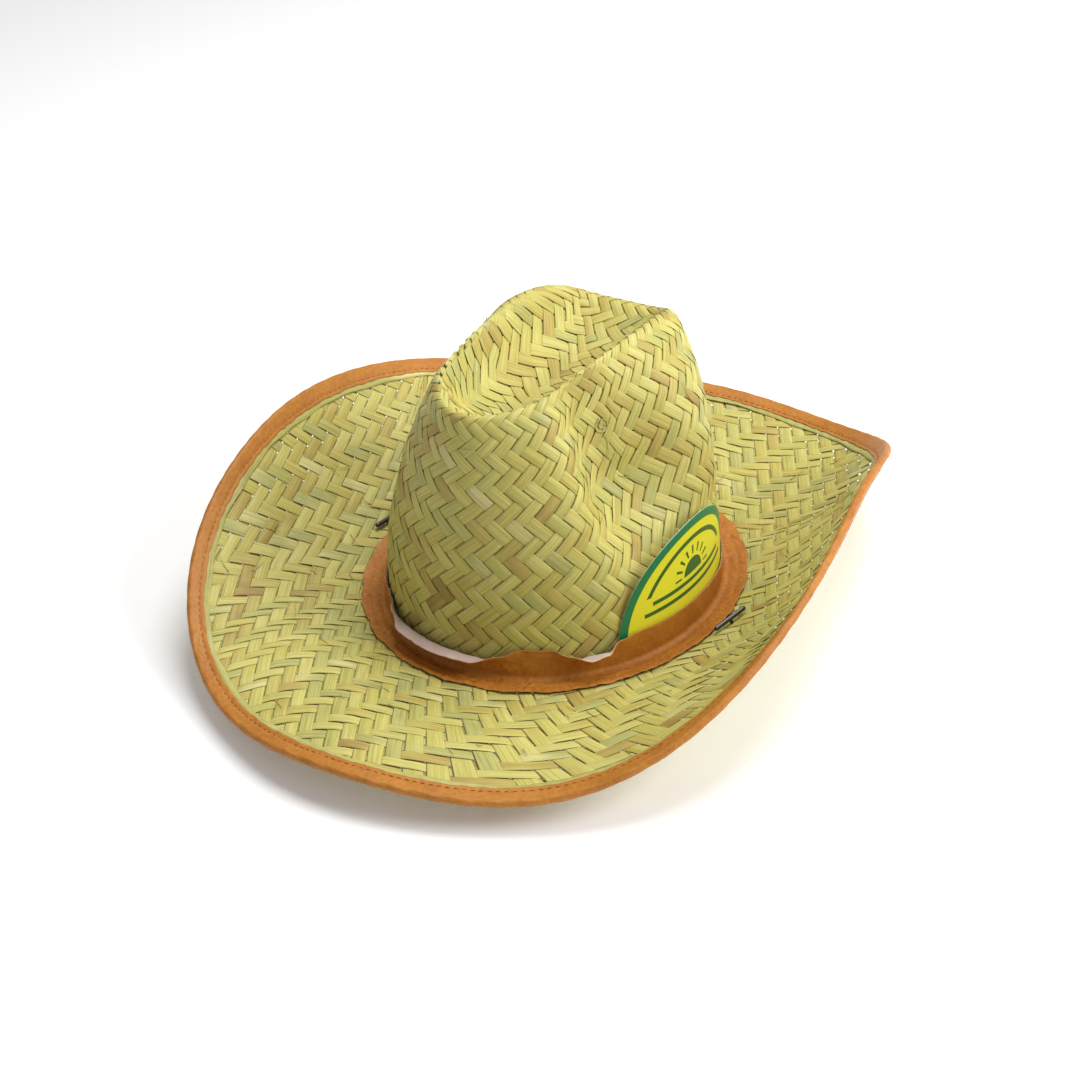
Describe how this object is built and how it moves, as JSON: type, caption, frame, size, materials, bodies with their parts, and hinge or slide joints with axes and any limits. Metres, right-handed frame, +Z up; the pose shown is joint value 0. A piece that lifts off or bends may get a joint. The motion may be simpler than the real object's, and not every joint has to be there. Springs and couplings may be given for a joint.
{
  "type": "cowboy hat",
  "caption": "Wide-brimmed cowboy sun hat of woven straw with curled sides, pinched crown, leatherette band and bound edge.",
  "frame": {"origin": "centre of the hat's box at its lowest plane, the surface that the sweatband's lower edge stands on", "axes": "+Z up; -Y is the front of the hat and +X the wearer's left, so the hat is longest along Y"},
  "size_m": [0.3751, 0.4374, 0.1592],
  "materials": {
    "straw": "dry woven plant straw, matt with a slight sheen along each strand",
    "leatherette": "thin vinyl-faced cloth, satin, finely wrinkled",
    "wire_steel": "drawn wire, hidden in the brim's edge",
    "sweatband_cloth": "plain woven cloth, matt",
    "thread": "sewing thread, matt",
    "black_plastic": "moulded plastic, satin",
    "black_elastic": "braided round elastic cord, matt",
    "printed_card": "coated card, printed, slightly glossy"
  },
  "bodies": {
    "hat": {"crown": "straw", "brim": "straw", "edge_binding": "leatherette", "brim_wire": "wire_steel", "hatband": "leatherette", "sweatband": "sweatband_cloth", "binding_thread": "thread", "hatband_thread_outer": "thread", "hatband_thread_inner": "thread", "chin_elastic": "black_elastic"},
    "card": {"label_card": "printed_card"},
    "left_toggle": {"toggle_bar_left": "black_plastic"},
    "right_toggle": {"toggle_bar_right": "black_plastic"}
  },
  "joints": [
    {"name": "card_slide", "type": "slide", "parent": "hat", "child": "card", "axis": [0, 0, 1], "range_m": [0, 0.011]},
    {"name": "left_toggle_swivel", "type": "hinge", "parent": "hat", "child": "left_toggle", "pos_m": [0.12107, 0.0021, 0.0102], "axis": [-0.3893, -0.0021, 0.9211], "range_deg": [-5, 39]},
    {"name": "right_toggle_swivel", "type": "hinge", "parent": "hat", "child": "right_toggle", "pos_m": [-0.1129, -0.00421, 0.01258], "axis": [0.4469, 0.0355, 0.8939], "range_deg": [-16, 28]}
  ]
}
